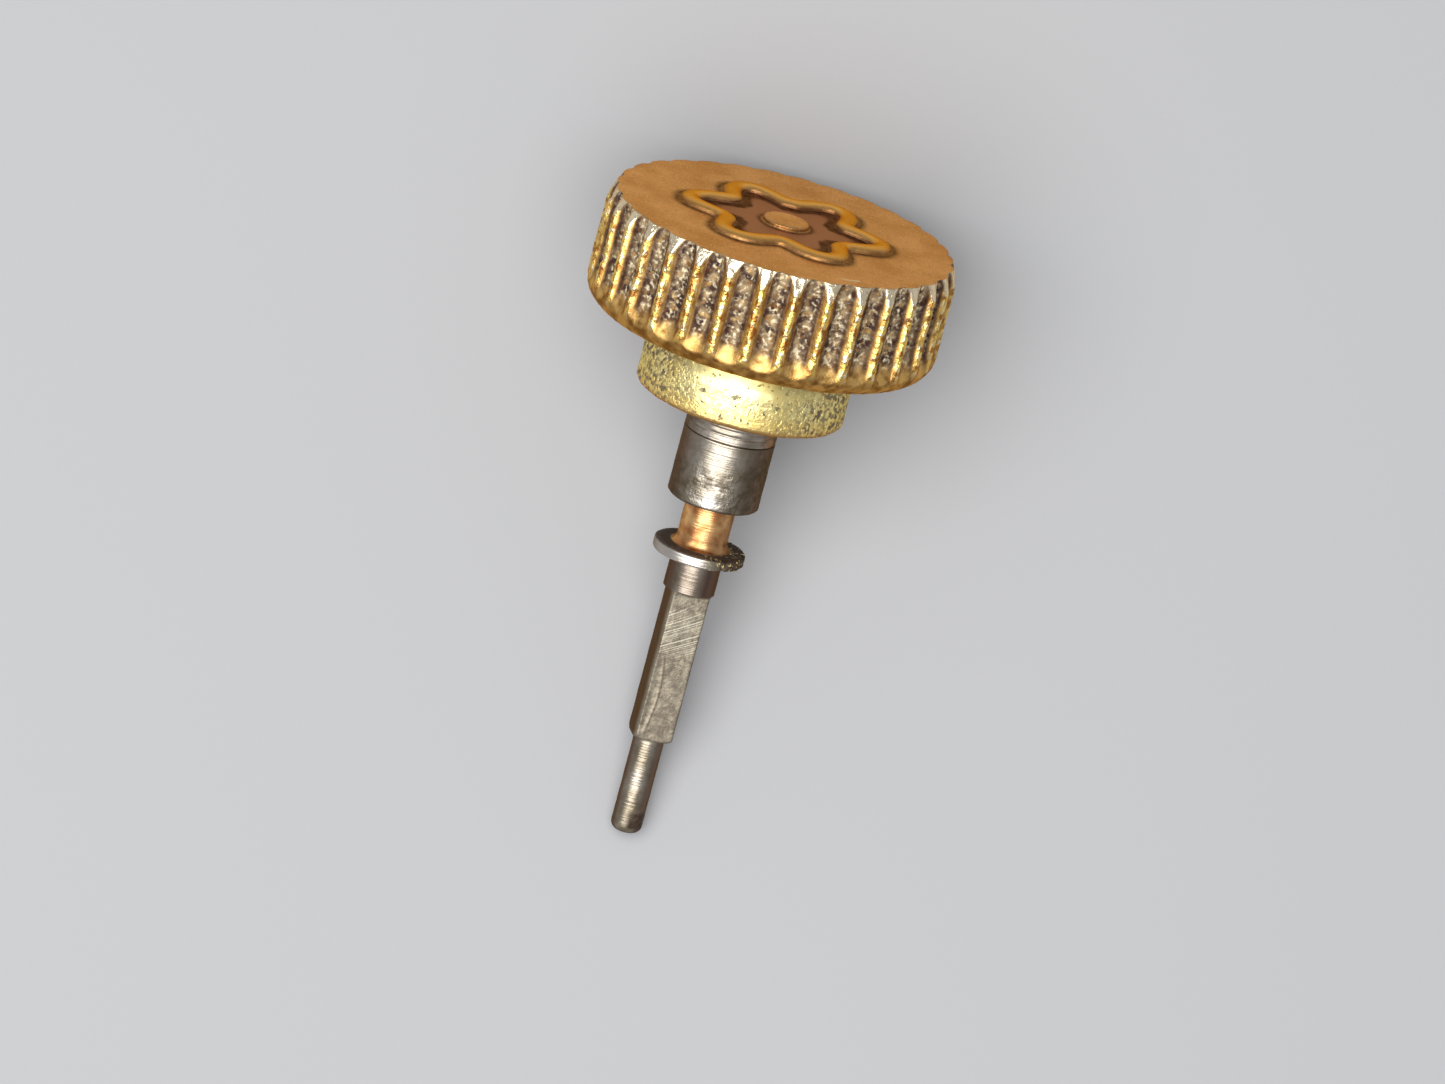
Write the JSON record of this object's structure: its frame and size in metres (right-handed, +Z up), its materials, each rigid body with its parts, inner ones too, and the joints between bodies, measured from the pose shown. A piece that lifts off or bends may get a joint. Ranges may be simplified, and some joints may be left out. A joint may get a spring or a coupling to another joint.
{
  "type": "watch winding crown with stem",
  "caption": "Coin-edged winding crown of a wristwatch, screwed onto a turned steel winding stem with a square and a pilot, lying on its side.",
  "frame": {"origin": "middle of the footprint of the crown and stem as they lie on a table, at table height", "axes": "+Z up from the table; +Y along the table from the stem's tip towards the crown; the stem's axis lies in the YZ plane and rises 16.65 degrees towards the crown, at (0, 0.958067, 0.286544); +X across"},
  "size_m": [0.0054, 0.0104, 0.0057],
  "materials": {
    "stem_steel": "turned steel, stained brown, with rust in the groove",
    "gold_shell": "worn gold-coloured shell, satin face, bright crests on the coin edge, dirty flutes",
    "core_brass": "pale bright brass, pitted towards its lower edge",
    "post_steel": "turned steel with dark pits",
    "seal_rubber": "dull black",
    "washer_steel": "plain"
  },
  "bodies": {
    "stem": {"winding_stem": "stem_steel"},
    "seal": {"seal_gasket": "seal_rubber", "seal_washer": "washer_steel"},
    "crown": {"crown_cap": "gold_shell", "crown_core": "core_brass", "crown_post": "post_steel"}
  },
  "joints": [
    {"name": "crown_travel", "type": "slide", "parent": "stem", "child": "seal", "axis": [0, 0.9581, 0.2865], "range_m": [0, 0.0018]},
    {"name": "crown_turn", "type": "hinge", "parent": "seal", "child": "crown", "pos_m": [0, 0.00114, 0.00207], "axis": [0, 0.9581, 0.2865], "range_deg": [0, 2880]}
  ],
  "couplings": [
    {"joint": "crown_turn", "follows": "crown_travel", "rad_per_m": 27925}
  ]
}
